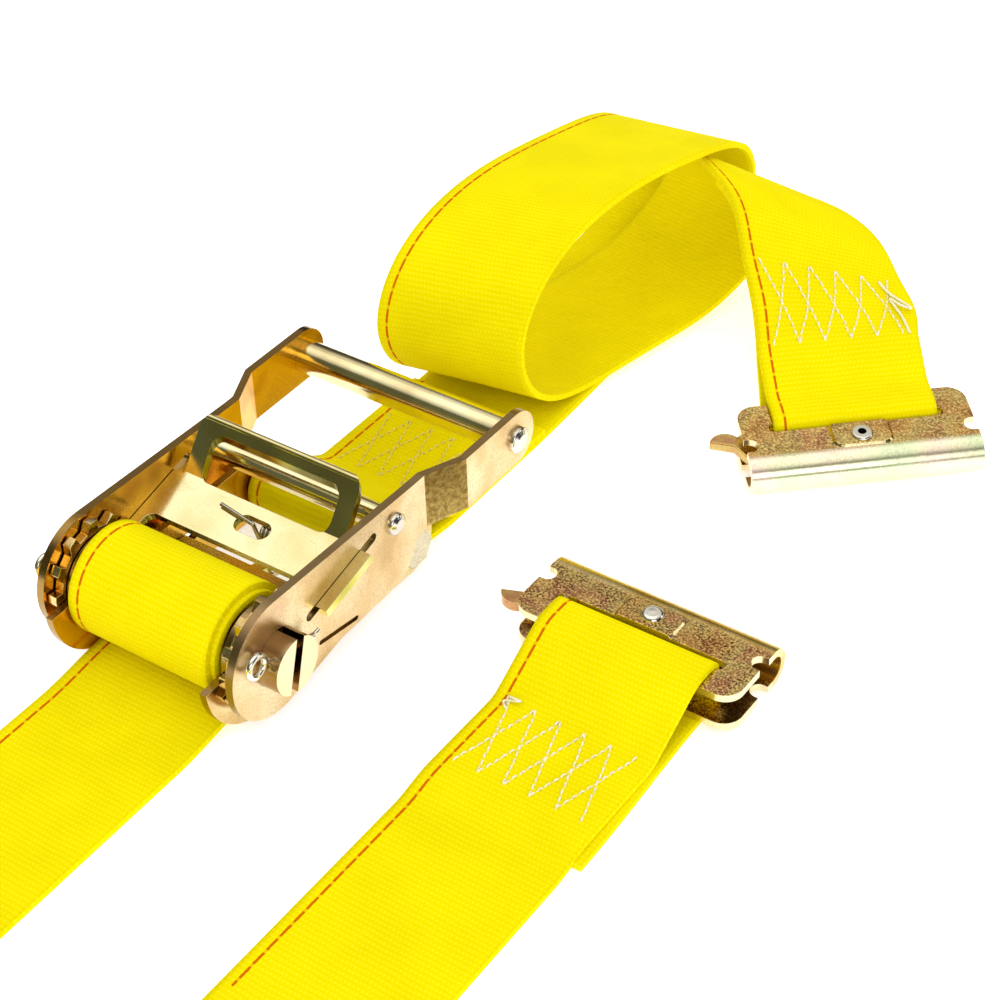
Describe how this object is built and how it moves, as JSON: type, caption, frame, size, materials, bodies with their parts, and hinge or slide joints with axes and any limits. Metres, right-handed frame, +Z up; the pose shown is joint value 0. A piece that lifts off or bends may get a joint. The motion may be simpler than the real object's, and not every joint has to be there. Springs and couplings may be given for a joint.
{
  "type": "ratchet tie down",
  "caption": "Two-inch ratchet buckle with a short webbing strap and a long webbing strap, each ending in a sprung track fitting.",
  "frame": {"origin": "middle of the bounding box in plan, on the floor the object lies on", "axes": "+X along the spool axis, +Y from the spool to the grip of the closed handle, +Z up"},
  "size_m": [0.227, 0.4627, 0.0617],
  "materials": {
    "plate": "pressed steel plate, yellow chromate zinc",
    "gear": "punched and turned steel, yellow chromate zinc",
    "hardware": "bright zinc rods, bolt and pins",
    "tube": "rolled steel tube, yellow chromate zinc",
    "spring": "spring wire",
    "fitting": "folded steel, speckled yellow chromate zinc",
    "rivet": "bright zinc",
    "webbing": "ribbed polyester webbing with a red dashed marker thread"
  },
  "bodies": {
    "frame": {"frame_plate_left": "plate", "frame_plate_right": "plate", "anchor_bolt": "hardware", "anchor_spacer": "tube", "anchor_nut": "hardware", "lock_pawl_spring": "spring", "long_strap_run": "webbing", "long_strap_hank": "webbing", "long_strap_fitting_run": "webbing", "short_strap_anchor_loop": "webbing", "short_strap_first_turn": "webbing", "short_strap_second_turn": "webbing"},
    "lock_pawl": {"lock_pawl": "gear"},
    "spool": {"spool_half_front": "gear", "spool_half_rear": "gear", "ratchet_gear_left": "gear", "ratchet_gear_right": "gear", "cotter_pin_left": "hardware", "cotter_pin_right": "hardware", "long_strap_wound": "webbing"},
    "handle": {"handle_plate_left": "plate", "handle_plate_right": "plate", "grip_tube": "tube", "grip_rod": "hardware", "cross_rod": "hardware", "cross_rod_tube": "tube"},
    "driver_pawl": {"driver_pawl": "gear", "driver_pawl_spring": "spring"},
    "fitting_lower": {"fitting_lower_body": "fitting", "fitting_lower_rivet": "rivet", "fitting_lower_spring": "spring", "long_strap_fitting_loop": "webbing"},
    "fitting_lower_latch": {"fitting_lower_latch": "fitting"},
    "fitting_upper": {"fitting_upper_body": "fitting", "fitting_upper_rivet": "rivet", "fitting_upper_spring": "spring", "short_strap_fitting_loop": "webbing"},
    "fitting_upper_latch": {"fitting_upper_latch": "fitting"}
  },
  "joints": [
    {"name": "handle_hinge", "type": "hinge", "parent": "frame", "child": "handle", "pos_m": [-0.0715, -0.0414, 0.022], "axis": [1, 0, 0], "range_deg": [0, 150]},
    {"name": "spool_hinge", "type": "hinge", "parent": "frame", "child": "spool", "pos_m": [-0.0715, -0.0414, 0.022], "axis": [1, 0, 0], "continuous": true},
    {"name": "driver_pawl_slide", "type": "slide", "parent": "handle", "child": "driver_pawl", "axis": [0, 0.9703, 0.2419], "range_m": [-0.0027, 0.0055], "stiffness_N_per_m": 300},
    {"name": "lock_pawl_slide", "type": "slide", "parent": "frame", "child": "lock_pawl", "axis": [0, 0.9613, -0.2756], "range_m": [0, 0.004], "stiffness_N_per_m": 300, "springref_m": -0.002},
    {"name": "fitting_lower_hinge", "type": "hinge", "parent": "frame", "child": "fitting_lower", "pos_m": [0.0325, -0.00825, 0.00405], "axis": [1, 0, 0], "range_deg": [0, 60]},
    {"name": "fitting_lower_latch_hinge", "type": "hinge", "parent": "fitting_lower", "child": "fitting_lower_latch", "pos_m": [0.0325, 0.0326, 0.0083], "axis": [0, 0, 1], "range_deg": [-8, 0], "stiffness_Nm_per_rad": 0.05},
    {"name": "fitting_upper_hinge", "type": "hinge", "parent": "frame", "child": "fitting_upper", "pos_m": [0.02056, 0.15843, 0.02741], "axis": [-0.7396, -0.673, 0], "range_deg": [0, 45]},
    {"name": "fitting_upper_latch_hinge", "type": "hinge", "parent": "fitting_upper", "child": "fitting_upper_latch", "pos_m": [0.0414, 0.13552, 0.00826], "axis": [-0.0703, 0.0773, -0.9945], "range_deg": [-8, 0], "stiffness_Nm_per_rad": 0.05}
  ]
}
